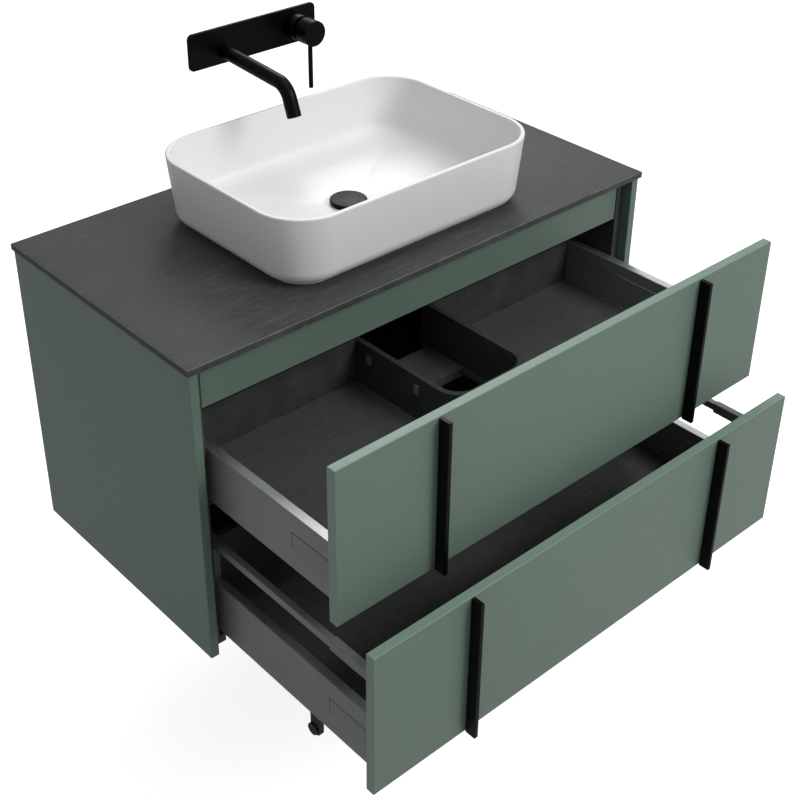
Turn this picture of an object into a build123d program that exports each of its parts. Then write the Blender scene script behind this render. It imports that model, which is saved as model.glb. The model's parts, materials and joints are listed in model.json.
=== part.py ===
"""Wall-hung vanity with two drawers, a vessel basin and a concealed wall mixer.

Millimetres, +Z up.  The origin is on the wall, in the middle of the cabinet's width,
at the height of the hanging screws.  +X runs to the right of a person facing the
vanity and +Y runs into the wall, so the drawers open towards -Y.  Both drawers are
drawn pulled out; their joints run back to the closed place.
"""
from build123d import *
from math import cos, radians, sin
import os

# cabinet
cabinet_width = 1000.0
cabinet_height = 556.0
cabinet_depth = 508.0
panel_thickness = 16.0
inner_panel_thickness = 16.0
inner_panel_back_gap = 20.0
front_bumper_gap = 3.0
front_rail_height = 83.0
front_rail_setback = 5.0
rear_rail_height = 96.0
lower_rear_rail_height = 80.0
bottom_thickness = 16.0
back_panel_thickness = 8.0
pipe_hole_clearance = 6.0
notch_margin = 5.0

# countertop
top_thickness = 12.0
top_side_overhang = 4.5
top_front_overhang = 4.0

# hanging
fixing_height = 524.0
fixing_spacing = 840.0
fixing_pitch = 32.0
fixing_hole_radius = 2.75
wall_plate_thickness = 4.0

# drawer fronts
front_thickness = 17.0
front_gap = 4.0
front_side_gap = 1.5
lower_front_height = 274.0
handle_inset = 209.0
handle_width = 8.0
handle_projection = 21.0
handle_drop = 2.0

# drawer boxes
side_gap = 4.0
side_width = 17.0
side_height = 102.0
side_skin = 1.5
upper_side_height_above_front = 18.0
lower_side_height_above_front = 24.0
floor_thickness = 16.0
back_thickness = 16.0
drawer_rear_space = 76.0
upper_opening = 305.0
lower_opening = 383.0
gallery_rail_height = 14.0
gallery_rail_lift = 69.0

# catch arms under the lower drawer
lock_reach = 164.0
lock_width = 24.0
lock_thickness = 9.0
lock_drop = 70.0
lock_wheel_radius = 11.0
lock_wheel_depth = 4.0

# recess round the trap
recess_width = 160.0
recess_wall = 10.0
recess_corner_radius = 35.0
recess_front_clearance = 26.0
recess_height = 84.0
hatch_rear_clearance = 56.0

# basin
basin_length = 556.0
basin_depth = 398.0
basin_height = 131.0
basin_corner_radius = 88.0
basin_wall = 8.0
basin_rim_radius = 2.5
basin_draft = 12.8
basin_base_radius = 30.0
basin_bowl_radius = 22.0
basin_floor_rise = 9.0
basin_floor_fall = 16.0
basin_foot_height = 3.0
basin_foot_inset = 20.0
basin_back_gap = 74.0

# waste and trap
waste_radius = 20.0
waste_hole_clearance = 2.5
waste_flange_radius = 31.0
waste_cap_radius = 33.0
waste_cap_lift = 8.0
cup_radius = 31.0
trap_pipe_radius = 16.0
trap_pipe_height = 434.0
spigot_radius = 15.6
spigot_length = 40.0
rosette_radius = 36.0

# wall mixer
plate_length = 279.0
plate_height = 67.0
plate_thickness = 6.0
plate_corner_radius = 10.0
plate_centre_x = 9.0
plate_lift = 238.0
spout_offset = 69.0
spout_exit_drop = 8.0
spout_fall = 12.0
spout_reach = 206.0
spout_radius = 12.6
spout_bore = 9.5
spout_drop = 51.0
spout_lean = 19.5
spout_bend_radius = 34.0
control_offset = 90.0
control_radius = 23.5
control_length = 62.0
control_pivot_reach = 36.0
collar_length = 25.0
lever_radius = 4.25
lever_length = 83.0
lever_reach = 52.0
wall_body_depth = 44.0
inlet_spacing = 70.0
inlet_setback = 26.0
inlet_drop = 38.0
inlet_bore_radius = 9.3
inlet_depth = 15.0

# running clearances
slide_clearance = 0.4
stem_clearance = 0.05

half_width = cabinet_width / 2
inner_face_x = half_width - panel_thickness - inner_panel_thickness
top_z = cabinet_height + top_thickness
front_face_y = -cabinet_depth
front_rear_y = front_face_y + front_thickness
inner_front_y = front_rear_y + front_bumper_gap
side_outer_x = inner_face_x - side_gap
side_inner_x = side_outer_x - side_width
drawer_rear_y = -drawer_rear_space
back_front_y = drawer_rear_y - back_thickness
lower_front_z = 0.0
upper_front_z = lower_front_height + front_gap
upper_front_height = cabinet_height - front_gap - upper_front_z
upper_side_z = upper_front_z + upper_side_height_above_front
lower_side_z = lower_front_z + lower_side_height_above_front
drain_y = -basin_back_gap - basin_depth / 2
recess_front_y = drain_y - cup_radius - recess_front_clearance
plate_z = top_z + plate_lift
spout_x = plate_centre_x - spout_offset
spout_z = plate_z - spout_exit_drop
control_x = plate_centre_x + control_offset


def block(x, y, z):
    """A box from three (low, high) pairs."""
    middle = ((x[0] + x[1]) / 2, (y[0] + y[1]) / 2, (z[0] + z[1]) / 2)
    return Pos(*middle) * Box(x[1] - x[0], y[1] - y[0], z[1] - z[0])


def rod(radius, start, end):
    """A cylinder between two points."""
    line = Vector(*end) - Vector(*start)
    middle = (Vector(*end) + Vector(*start)) * 0.5
    return Plane(origin=middle, z_dir=line) * Cylinder(radius, line.length)


def rounded_plate(length, width, radius, x, y, z, height):
    """A plate with rounded corners, lying flat with its underside at z."""
    outline = Pos(x, y, z) * RectangleRounded(length, width, radius)
    return extrude(outline, amount=height)


def pair(solid):
    """The left piece and its mirror image on the right."""
    return [solid, mirror(solid, about=Plane.YZ)]


def cross_edges(solid, axis):
    """The straight edges that run along an axis."""
    return solid.edges().filter_by(axis)


# ---------------------------------------------------------------- cabinet
def side_panel():
    panel = block((-half_width, -half_width + panel_thickness), (-cabinet_depth, 0), (0, cabinet_height))
    return chamfer(panel.faces().sort_by(Axis.Y)[0].edges(), 0.6)


def inner_side():
    return block((-half_width + panel_thickness, -inner_face_x),
                 (inner_front_y, -inner_panel_back_gap), (0, cabinet_height))


def front_rail():
    face_y = front_rear_y + front_rail_setback
    return block((-inner_face_x, inner_face_x), (face_y, face_y + panel_thickness),
                 (cabinet_height - front_rail_height, cabinet_height))


def rear_rail(bottom, height):
    return block((-inner_face_x, inner_face_x),
                 (-inner_panel_back_gap - panel_thickness, -inner_panel_back_gap), (bottom, bottom + height))


def bottom_panel():
    """The cabinet's floor, notched at the front so that the catch arms pass when the drawer shuts."""
    panel = block((-inner_face_x, inner_face_x), (inner_front_y, -inner_panel_back_gap - panel_thickness),
                  (0, bottom_thickness))
    notch_rear_y = front_rear_y + lock_reach + lock_width / 2 + notch_margin
    notch = block((-side_inner_x - lock_wheel_depth - notch_margin, -side_inner_x + lock_thickness + notch_margin),
                  (inner_front_y - 1, notch_rear_y), (-1, bottom_thickness + 1))
    for cut in pair(notch):
        panel -= cut
    return panel


def back_panel():
    """A thin board that closes the back between the rear rails, with a hole for the trap's pipe."""
    rear_y = -inner_panel_back_gap
    front_y = rear_y - back_panel_thickness
    panel = block((-inner_face_x, inner_face_x), (front_y, rear_y),
                  (lower_rear_rail_height, cabinet_height - rear_rail_height))
    hole_radius = trap_pipe_radius + pipe_hole_clearance
    return panel - rod(hole_radius, (0, front_y - 1, trap_pipe_height), (0, rear_y + 1, trap_pipe_height))


def fixing_points():
    return [(side * fixing_spacing / 2, fixing_height + row * fixing_pitch / 2)
            for side in (-1, 1) for row in (-1, 1)]


def upper_rear_rail():
    rail = rear_rail(cabinet_height - rear_rail_height, rear_rail_height)
    access_radius = 14.0
    for x, z in fixing_points():
        rail -= rod(access_radius, (x, -2 * inner_panel_back_gap, z), (x, 0, z))
    return rail


def wall_plates():
    half_height = fixing_pitch / 2 + 10
    x_range = (-fixing_spacing / 2 - 12, -fixing_spacing / 2 + 48)
    z_range = (fixing_height - half_height, fixing_height + half_height)
    plate = block(x_range, (-wall_plate_thickness, 0), z_range)
    plates = []
    for piece in pair(plate):
        for x, z in fixing_points():
            piece -= rod(fixing_hole_radius, (x, -2 * wall_plate_thickness, z), (x, wall_plate_thickness, z))
        plates.append(piece)
    return plates


def hanger_hooks():
    """Hooks screwed to the rear rail, resting on the wall plates."""
    near_x = -fixing_spacing / 2 + 24
    hook = block((near_x, near_x + 20), (-inner_panel_back_gap, -wall_plate_thickness),
                 (fixing_height - 18, fixing_height + 18))
    return pair(hook)


def countertop():
    slab = block((-half_width - top_side_overhang, half_width + top_side_overhang),
                 (-cabinet_depth - top_front_overhang, 0), (cabinet_height, top_z))
    slab = chamfer(slab.edges(), 0.8)
    hole = rod(waste_radius + waste_hole_clearance, (0, drain_y, cabinet_height - 1), (0, drain_y, top_z + 1))
    return slab - hole


def top_brackets():
    """Angles in the inner sides' top corners that hold the countertop."""
    leg = 28.0
    thickness = 2.0
    near_x = -inner_face_x
    brackets = []
    for y in (inner_front_y + 60, -inner_panel_back_gap - 60):
        span = (y - 14, y + 14)
        upright = block((near_x, near_x + thickness), span, (cabinet_height - leg, cabinet_height))
        flat = block((near_x, near_x + leg), span, (cabinet_height - thickness, cabinet_height))
        brackets += pair(upright + flat)
    return brackets


# ---------------------------------------------------------------- basin
def rounded_outline(length, width, radius, z):
    return Pos(0, drain_y, z) * RectangleRounded(length, width, radius)


def inset_outline(inset, z):
    """The rim's outline, drawn in evenly by an inset."""
    return rounded_outline(basin_length - 2 * inset, basin_depth - 2 * inset, basin_corner_radius - inset, z)


def basin():
    foot_z = top_z
    body_z = foot_z + basin_foot_height
    rim_z = top_z + basin_height
    low = inset_outline(basin_draft, body_z)
    high = inset_outline(0, rim_z)
    body = loft([low.face(), high.face()])
    body = fillet(body.faces().sort_by(Axis.Z)[0].edges(), basin_base_radius)
    body = fillet(body.faces().sort_by(Axis.Z)[-1].edges(), basin_rim_radius)

    foot_height = basin_foot_height + basin_floor_rise / 2
    foot = extrude(inset_outline(basin_draft + basin_foot_inset, foot_z), amount=foot_height)

    floor_z = body_z + basin_floor_rise + basin_floor_fall
    inner_low = inset_outline(basin_wall + basin_draft, floor_z)
    inner_high = inset_outline(basin_wall, rim_z + 0.01)
    bowl = loft([inner_low.face(), inner_high.face()])
    bowl = fillet(bowl.faces().sort_by(Axis.Z)[0].edges(), basin_bowl_radius)
    dish_high = inset_outline(basin_wall + basin_draft + basin_bowl_radius + 6, floor_z + 0.01)
    dish_low = rounded_outline(2 * waste_flange_radius + 4, 2 * waste_flange_radius + 4,
                               waste_flange_radius + 1, floor_z - basin_floor_fall)
    dish = loft([dish_low.face(), dish_high.face()])
    hole = rod(waste_radius + waste_hole_clearance, (0, drain_y, foot_z - 1), (0, drain_y, floor_z))
    return body + foot - bowl - dish - hole


bowl_floor_z = top_z + basin_foot_height + basin_floor_rise


# ---------------------------------------------------------------- waste and trap
def ring(outer, inner, low, high):
    """A round washer or nut about the drain's axis."""
    body = rod(outer, (0, drain_y, low), (0, drain_y, high))
    return body - rod(inner, (0, drain_y, low - 1), (0, drain_y, high + 1))


waste_end_z = cabinet_height - 52.0
stem_radius = 5.0
stem_guide_z = cabinet_height - 20.0


def waste_body():
    flange = ring(waste_flange_radius, waste_radius - 3, bowl_floor_z, bowl_floor_z + 3)
    tube = ring(waste_radius, waste_radius - 3, waste_end_z, bowl_floor_z)
    hub = ring(stem_radius + 4, stem_radius + stem_clearance, stem_guide_z, stem_guide_z + 14)
    spokes = Part()
    for turn in (0, 120, 240):
        reach = waste_radius - 2
        spoke = block((stem_radius + 3, reach), (-1.5, 1.5), (stem_guide_z, stem_guide_z + 6))
        spokes += Pos(0, drain_y, 0) * Rot(0, 0, turn) * spoke
    return flange + tube + hub + spokes


def waste_cap():
    """The domed click cap and its stem, drawn shut; it springs up by its lift."""
    under_z = bowl_floor_z + 3 + slide_clearance
    crown = 6.0
    disc = rod(waste_cap_radius, (0, drain_y, under_z), (0, drain_y, under_z + crown))
    disc = fillet(disc.faces().sort_by(Axis.Z)[-1].edges(), 4.5)
    stem = rod(stem_radius, (0, drain_y, stem_guide_z - waste_cap_lift - 2), (0, drain_y, under_z))
    return disc + stem


def waste_nut():
    nut_radius = waste_radius + 9
    return ring(nut_radius, waste_radius, cabinet_height - 16, cabinet_height - 4)


def waste_gasket():
    return ring(waste_radius + 11, waste_radius, cabinet_height - 4, cabinet_height)


def trap_head():
    inlet = ring(waste_radius, waste_radius - 3, waste_end_z - 34, waste_end_z)
    outlet_reach = cup_radius + 8
    head = ring(cup_radius - 2, cup_radius - 5, trap_pipe_height - 24, waste_end_z - 37)
    lid = ring(cup_radius - 2, waste_radius - 3, waste_end_z - 37, waste_end_z - 34)
    centre = (0, drain_y, trap_pipe_height)
    boss = rod(trap_pipe_radius + 3, centre, (0, drain_y + outlet_reach, trap_pipe_height))
    bore = rod(trap_pipe_radius, centre, (0, drain_y + outlet_reach + 1, trap_pipe_height))
    core = rod(cup_radius - 5, (0, drain_y, trap_pipe_height - 25), (0, drain_y, waste_end_z - 37))
    return inlet + head + lid + (boss - core) - bore


def trap_cup():
    bottom_z = trap_pipe_height - 92
    rim_z = trap_pipe_height - 24
    cup = rod(cup_radius - 2, (0, drain_y, bottom_z), (0, drain_y, rim_z))
    cup = fillet(cup.faces().sort_by(Axis.Z)[0].edges(), 10)
    return cup - rod(cup_radius - 5, (0, drain_y, bottom_z + 4), (0, drain_y, rim_z + 1))


def trap_nuts():
    top_nut = ring(waste_radius + 6, waste_radius, waste_end_z - 14, waste_end_z + 14)
    cup_nut = ring(cup_radius, cup_radius - 2, trap_pipe_height - 32, trap_pipe_height - 20)
    near_y = drain_y + cup_radius + 2
    far_y = near_y + 22
    centre = (0, near_y, trap_pipe_height)
    outlet_nut = rod(trap_pipe_radius + 8, centre, (0, far_y, trap_pipe_height))
    outlet_nut -= rod(trap_pipe_radius + 3, centre, (0, drain_y + cup_radius + 8, trap_pipe_height))
    outlet_nut -= rod(trap_pipe_radius, centre, (0, far_y + 1, trap_pipe_height))
    return [top_nut, cup_nut, outlet_nut]


def trap_pipe():
    """The pipe from the trap to the wall, turned down a little where it enters the wall's socket."""
    start_y = drain_y + cup_radius + 8
    pipe = rod(trap_pipe_radius, (0, start_y, trap_pipe_height), (0, 0, trap_pipe_height))
    pipe += rod(spigot_radius, (0, 0, trap_pipe_height), (0, spigot_length, trap_pipe_height))
    bore_ends = ((0, start_y - 1, trap_pipe_height), (0, spigot_length + 1, trap_pipe_height))
    return pipe - rod(trap_pipe_radius - 2, *bore_ends)


def wall_rosette():
    start = (0, -10, trap_pipe_height)
    end = (0, 0, trap_pipe_height)
    rosette = rod(rosette_radius, start, end)
    rosette = fillet(rosette.faces().sort_by(Axis.Y)[0].edges(), 6)
    return rosette - rod(trap_pipe_radius, (0, -11, trap_pipe_height), (0, 1, trap_pipe_height))


# ---------------------------------------------------------------- wall mixer
def mixer_plate():
    outline = Plane.XZ * Pos(plate_centre_x, plate_z) * RectangleRounded(plate_length, plate_height,
                                                                        plate_corner_radius)
    plate = extrude(outline, amount=plate_thickness)
    plate = fillet(plate.faces().sort_by(Axis.Y)[0].edges(), 1.0)
    start, corner, outlet = spout_points()
    plate -= rod(spout_radius, tuple(start), tuple((start + corner) * 0.5))
    bore = cartridge_radius + slide_clearance
    return plate - rod(bore, (control_x, -plate_thickness - 1, plate_z), (control_x, 1, plate_z))


hub_shaft_radius = 10.0
cartridge_radius = 17.0
cartridge_depth = 12.0
cartridge_front_y = -plate_thickness - collar_length + 5


def mixer_wall_body():
    """The brass body in the wall, with its two threaded inlets pointing down."""
    low_z = plate_z - inlet_drop + inlet_depth
    ends = (spout_x - 22, control_x + inlet_spacing / 2 + 16)
    body = block(ends, (0, wall_body_depth), (low_z, plate_z + 2))
    body = fillet(cross_edges(body, Axis.Y), 8)
    body += rod(cartridge_radius + 3.5, (control_x, 0, plate_z), (control_x, cartridge_depth + 3, plate_z))
    bottom_z = plate_z - inlet_drop
    for side in (-1, 1):
        x = control_x + side * inlet_spacing / 2
        mouth = (x, inlet_setback, bottom_z)
        body += rod(inlet_bore_radius + 4.5, mouth, (x, inlet_setback, low_z + 1))
        body -= rod(inlet_bore_radius, mouth, (x, inlet_setback, bottom_z + inlet_depth))
    return body - rod(cartridge_radius, (control_x, -1, plate_z), (control_x, cartridge_depth, plate_z))


def mixer_cartridge():
    """The cartridge stands in the wall body and reaches through the plate into the collar."""
    front = (control_x, cartridge_front_y, plate_z)
    body = rod(cartridge_radius, front, (control_x, cartridge_depth, plate_z))
    bore = hub_shaft_radius + stem_clearance
    return body - rod(bore, front, (control_x, cartridge_depth - 3, plate_z))


def mixer_collar():
    start = (control_x, -plate_thickness, plate_z)
    end = (control_x, -plate_thickness - collar_length, plate_z)
    collar = rod(control_radius, start, end)
    collar = fillet(collar.faces().sort_by(Axis.Y)[0].edges(), 0.8)
    return collar - rod(cartridge_radius + slide_clearance, start, end)


dome_radius = 18.5


def control_hub():
    """The ball on the cartridge's shaft, which turns and carries the tilting cap."""
    pivot_y = -control_pivot_reach
    ball = Pos(control_x, pivot_y, plate_z) * Sphere(dome_radius)
    face_y = -plate_thickness - collar_length - slide_clearance
    keep = rod(dome_radius + 1, (control_x, face_y, plate_z), (control_x, pivot_y - dome_radius - 1, plate_z))
    shaft = rod(hub_shaft_radius, (control_x, cartridge_depth - 4, plate_z), (control_x, pivot_y, plate_z))
    return (ball & keep) + shaft


def control_cap():
    pivot_y = -control_pivot_reach
    front_y = -plate_thickness - control_length
    rear_y = pivot_y - 2.5
    cap = rod(control_radius, (control_x, front_y, plate_z), (control_x, rear_y, plate_z))
    cap = fillet(cap.faces().sort_by(Axis.Y)[0].edges(), 1.2)
    return cap - Pos(control_x, pivot_y, plate_z) * Sphere(dome_radius + slide_clearance)


def lever_rod():
    top_z_here = plate_z - control_radius + 0.6
    bottom_z = plate_z - control_radius - lever_length
    lever = rod(lever_radius, (control_x, -lever_reach, bottom_z), (control_x, -lever_reach, top_z_here))
    lever = fillet(lever.faces().sort_by(Axis.Z)[0].edges(), lever_radius - 0.6)
    return lever - rod(control_radius, (control_x, 0, plate_z), (control_x, -2 * lever_reach, plate_z))


def spout_points():
    """A point on the spout's axis just inside the wall, the corner of its bend, and its outlet."""
    corner_z = spout_z - spout_fall
    corner = Vector(spout_x, -spout_reach + spout_lean, corner_z)
    inward = (Vector(spout_x, 0, spout_z) - corner).normalized()
    start = Vector(spout_x, 0, spout_z) + inward * spout_radius / 4
    return start, corner, Vector(spout_x, -spout_reach, corner_z - spout_drop)


def spout():
    start, corner, outlet = spout_points()
    route = FilletPolyline(start, corner, outlet, radius=spout_bend_radius)
    mouth = Plane(origin=start, z_dir=corner - start)
    tube = sweep(mouth * Circle(spout_radius), path=route) - sweep(mouth * Circle(spout_bore), path=route)
    behind_wall_face = block((spout_x - 20, spout_x + 20), (0, 20), (spout_z - 20, spout_z + 20))
    return tube - behind_wall_face


def spout_aerator():
    start, corner, outlet = spout_points()
    inward = (corner - outlet).normalized()
    low = outlet + inward * 1.5
    high = outlet + inward * 12
    return rod(spout_bore, tuple(low), tuple(high))


# ---------------------------------------------------------------- drawers
def drawer_front(bottom, height):
    end_x = half_width - panel_thickness - front_side_gap
    panel = block((-end_x, end_x), (front_face_y, front_rear_y), (bottom, bottom + height))
    return chamfer(panel.edges(), 0.8)


def handles(bottom, height):
    x = -half_width + handle_inset
    y_range = (front_face_y - handle_projection, front_face_y)
    z_range = (bottom - handle_drop, bottom + height - handle_drop)
    bar = block((x - handle_width / 2, x + handle_width / 2), y_range, z_range)
    bar = fillet(bar.faces().sort_by(Axis.Y)[0].edges().filter_by(Axis.Z), 1.2)
    return pair(bar)


cover_length = 104.0
cover_height = 29.0
cover_lift = 38.0
cover_gap = 0.6


def drawer_side(side_z):
    """A hollow steel side: two skins, a flat top and a lip under the floor."""
    outer = (-side_outer_x, -side_inner_x)
    cavity = (-side_outer_x + side_skin, -side_inner_x - side_skin)
    shell = block(outer, (front_rear_y, drawer_rear_y), (side_z, side_z + side_height))
    shell = chamfer(cross_edges(shell, Axis.Y).sort_by(Axis.Z)[-2:], 0.7)
    cavity_z = (side_z - 1, side_z + side_height - side_skin)
    shell -= block(cavity, (front_rear_y - 1, drawer_rear_y + 1), cavity_z)
    shell += block((cavity[1], outer[1] + 14), (front_rear_y, drawer_rear_y), (side_z - side_skin, side_z))
    window_y = (front_rear_y - 1, front_rear_y + cover_length + cover_gap)
    window_z = (side_z + cover_lift, side_z + cover_lift + cover_height + cover_gap)
    return shell - block((outer[0] - 1, cavity[0]), window_y, window_z)


def cover_caps(side_z):
    """Covers clipped into the sides' outer skins over the front fixings."""
    low_z = side_z + cover_lift
    front_y = front_rear_y + cover_gap
    inner_x = -side_outer_x + side_skin
    face = block((-side_outer_x, inner_x), (front_y, front_rear_y + cover_length), (low_z, low_z + cover_height))
    backing = block((inner_x, inner_x + 1), (front_y, front_rear_y + cover_length + 4),
                    (low_z - 3, low_z + cover_height + 3))
    return pair(face + backing)


def front_brackets(side_z):
    bracket = block((-side_outer_x + side_skin + 1.2, -side_inner_x - side_skin),
                    (front_rear_y, front_rear_y + 40), (side_z + 74, side_z + side_height - side_skin))
    return pair(bracket)


runner_height = 32.0


def glides(side_z):
    """Nylon strips in the hollow sides that ride on the middle runners."""
    low_z = side_z + runner_height + slide_clearance
    strip = block((-side_outer_x + side_skin, -side_inner_x - side_skin),
                  (front_rear_y + 110, drawer_rear_y - 6), (low_z, low_z + 8))
    return pair(strip)


def drawer_floor(side_z):
    return block((-side_inner_x, side_inner_x), (front_rear_y, drawer_rear_y),
                 (side_z, side_z + floor_thickness))


def hatched_floor(side_z):
    floor = drawer_floor(side_z)
    hatch_rear_y = drain_y + cup_radius + hatch_rear_clearance
    middle_y = (hatch_rear_y + recess_front_y) / 2
    hole = rounded_plate(recess_width, hatch_rear_y - recess_front_y, recess_corner_radius, 0, middle_y,
                         side_z - 1, floor_thickness + 2)
    square = block((-recess_width / 2, recess_width / 2), (middle_y, hatch_rear_y),
                   (side_z - 1, side_z + floor_thickness + 1))
    rear_slot = block((-recess_width / 2, recess_width / 2), (back_front_y, drawer_rear_y + 1),
                      (side_z - 1, side_z + floor_thickness + 1))
    return floor - hole - square - rear_slot


def recess_liner(side_z):
    """The U-shaped wall that keeps the upper drawer clear of the trap."""
    floor_z = side_z + floor_thickness
    outer_width = recess_width + 2 * recess_wall
    depth = drawer_rear_y - recess_front_y
    slack = 80.0
    outer = rounded_plate(outer_width, depth + recess_wall + slack, recess_corner_radius + recess_wall, 0,
                          (drawer_rear_y + slack + recess_front_y - recess_wall) / 2, floor_z, recess_height)
    inner = rounded_plate(recess_width, depth + slack, recess_corner_radius, 0,
                          (drawer_rear_y + slack + recess_front_y) / 2, floor_z - 1, recess_height + 2)
    beyond = block((-outer_width, outer_width), (drawer_rear_y, drawer_rear_y + 2 * slack),
                   (floor_z - 2, floor_z + recess_height + 2))
    return outer - inner - beyond


def recess_clips(side_z):
    clip_size = (3.0, 12.0, 18.0)
    face_x = -recess_width / 2 - recess_wall
    top = side_z + floor_thickness + recess_height - 16
    clips = []
    for y in (drawer_rear_y - 50, recess_front_y + 84):
        clip = block((face_x - clip_size[0], face_x), (y - clip_size[1] / 2, y + clip_size[1] / 2),
                     (top - clip_size[2], top))
        clips += pair(clip)
    return clips


def split_backs(side_z):
    near_x = -recess_width / 2 - recess_wall
    return pair(block((-side_inner_x, near_x), (back_front_y, drawer_rear_y),
                      (side_z + floor_thickness, side_z + floor_thickness + recess_height)))


def gallery_top(side_z):
    return side_z + side_height + gallery_rail_lift + gallery_rail_height


def whole_back(side_z):
    return block((-side_inner_x, side_inner_x), (back_front_y, drawer_rear_y),
                 (side_z + floor_thickness, gallery_top(side_z)))


gallery_socket_length = 104.0
gallery_socket_margin = 4.0


def gallery_rails(side_z):
    top = gallery_top(side_z)
    rail = block((-side_outer_x + 2, -side_inner_x - 3), (front_rear_y + gallery_socket_length, back_front_y),
                 (top - gallery_rail_height, top))
    return pair(fillet(cross_edges(rail, Axis.Y), 1.5))


def gallery_sockets(side_z):
    """Front sockets on the drawer front and rear posts on the sides, which hold the rails."""
    top = gallery_top(side_z)
    near_x = -side_outer_x + 1
    socket = block((near_x, -side_inner_x - 2), (front_rear_y, front_rear_y + gallery_socket_length),
                   (top - gallery_rail_height - gallery_socket_margin, top + gallery_socket_margin / 2))
    post = block((near_x, -side_inner_x), (back_front_y, drawer_rear_y), (side_z + side_height, top))
    return pair(chamfer(cross_edges(socket, Axis.Y), 1.0)) + pair(post)


def drawer_locks(side_z):
    """Catch arms under the drawer's front corners, which clip it to its runners."""
    x = -side_inner_x + lock_thickness / 2
    centre_y = front_rear_y + lock_reach
    top_z_here = side_z - side_skin
    nose_z = top_z_here - lock_drop + lock_width / 2
    x_range = (x - lock_thickness / 2, x + lock_thickness / 2)
    arm = block(x_range, (centre_y - lock_width / 2, centre_y + lock_width / 2), (nose_z, top_z_here))
    nose = rod(lock_width / 2, (x_range[0], centre_y, nose_z), (x_range[1], centre_y, nose_z))
    return pair(arm + nose)


def lock_wheels(side_z):
    x = -side_inner_x
    centre_y = front_rear_y + lock_reach + 3
    z = side_z - side_skin - lock_drop + lock_width / 2
    wheel = rod(lock_wheel_radius, (x - lock_wheel_depth, centre_y, z), (x, centre_y, z))
    return pair(fillet(wheel.faces().sort_by(Axis.X)[0].edges(), 1.0))


# ---------------------------------------------------------------- runners
runner_front_gap = 5.0
runner_rear_gap = 24.0
web_thickness = 2.0
bulb_width = 5.0
middle_width = 11.0
middle_skin = 1.6


def runner_middle_x():
    return -(side_outer_x + side_inner_x) / 2


def cabinet_runners(side_z):
    """Fixed members: a foot on the inner side, a web and a rounded head."""
    x = runner_middle_x()
    span = (inner_front_y + runner_front_gap, drawer_rear_y - runner_rear_gap)
    base_z = side_z - 8
    head_top = side_z + runner_height - middle_skin - slide_clearance
    foot = block((-inner_face_x, x + bulb_width / 2), span, (base_z, base_z + 2))
    flange = block((-inner_face_x, -inner_face_x + 2), span, (base_z, side_z + 14))
    web = block((x - web_thickness / 2, x + web_thickness / 2), span, (base_z, head_top))
    head = block((x - bulb_width / 2, x + bulb_width / 2), span, (head_top - 5, head_top))
    return pair(foot + flange + web + head)


def middle_runners(side_z):
    """Inverted channels that travel half as far as the drawer."""
    x = runner_middle_x()
    span = (inner_front_y + 2 * runner_front_gap, drawer_rear_y - 1.5 * runner_rear_gap)
    top = side_z + runner_height
    low = side_z + 6
    outer = block((x - middle_width / 2, x + middle_width / 2), span, (low, top))
    inner = block((x - middle_width / 2 + middle_skin, x + middle_width / 2 - middle_skin),
                  (span[0] - 1, span[1] + 1), (low - 1, top - middle_skin))
    return pair(outer - inner)


# ---------------------------------------------------------------- assembly
def still_nodes():
    left_panel, right_panel = pair(side_panel())
    left_inner, right_inner = pair(inner_side())
    return {
        "side_panel_left": [left_panel],
        "side_panel_right": [right_panel],
        "inner_side_left": [left_inner],
        "inner_side_right": [right_inner],
        "front_rail": [front_rail()],
        "upper_rear_rail": [upper_rear_rail()],
        "lower_rear_rail": [rear_rail(0, lower_rear_rail_height)],
        "bottom_panel": [bottom_panel()],
        "back_panel": [back_panel()],
        "wall_plates": wall_plates(),
        "hanger_hooks": hanger_hooks(),
        "countertop": [countertop()],
        "top_brackets": top_brackets(),
        "basin": [basin()],
        "waste_body": [waste_body()],
        "waste_cap": [waste_cap()],
        "waste_nut": [waste_nut()],
        "waste_gasket": [waste_gasket()],
        "trap_head": [trap_head()],
        "trap_cup": [trap_cup()],
        "trap_nuts": trap_nuts(),
        "trap_pipe": [trap_pipe()],
        "wall_rosette": [wall_rosette()],
        "mixer_plate": [mixer_plate()],
        "mixer_wall_body": [mixer_wall_body()],
        "mixer_cartridge": [mixer_cartridge()],
        "mixer_collar": [mixer_collar()],
        "spout": [spout()],
        "spout_aerator": [spout_aerator()],
        "control_hub": [control_hub()],
        "control_cap": [control_cap()],
        "lever_rod": [lever_rod()],
    }


def runner_nodes(level, side_z, opening):
    halfway = Pos(0, -opening / 2, 0)
    return {
        f"{level}_cabinet_runners": cabinet_runners(side_z),
        f"{level}_middle_runners": [halfway * member for member in middle_runners(side_z)],
    }


def drawer_nodes(level, front_z, front_height, side_z, opening):
    """One drawer, built closed and then slid out by its opening."""
    left_side, right_side = pair(drawer_side(side_z))
    nodes = {
        f"{level}_front": [drawer_front(front_z, front_height)],
        f"{level}_handles": handles(front_z, front_height),
        f"{level}_side_left": [left_side],
        f"{level}_side_right": [right_side],
        f"{level}_cover_caps": cover_caps(side_z),
        f"{level}_front_brackets": front_brackets(side_z),
        f"{level}_glides": glides(side_z),
    }
    if level == "upper":
        nodes["upper_floor"] = [hatched_floor(side_z)]
        nodes["upper_backs"] = split_backs(side_z)
        nodes["recess_liner"] = [recess_liner(side_z)]
        nodes["recess_clips"] = recess_clips(side_z)
    else:
        nodes["lower_floor"] = [drawer_floor(side_z)]
        nodes["lower_back"] = [whole_back(side_z)]
        nodes["gallery_rails"] = gallery_rails(side_z)
        nodes["gallery_sockets"] = gallery_sockets(side_z)
        nodes["lower_locks"] = drawer_locks(side_z)
        nodes["lower_lock_wheels"] = lock_wheels(side_z)
    slid = Pos(0, -opening, 0)
    return {name: [slid * solid for solid in solids] for name, solids in nodes.items()}


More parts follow.
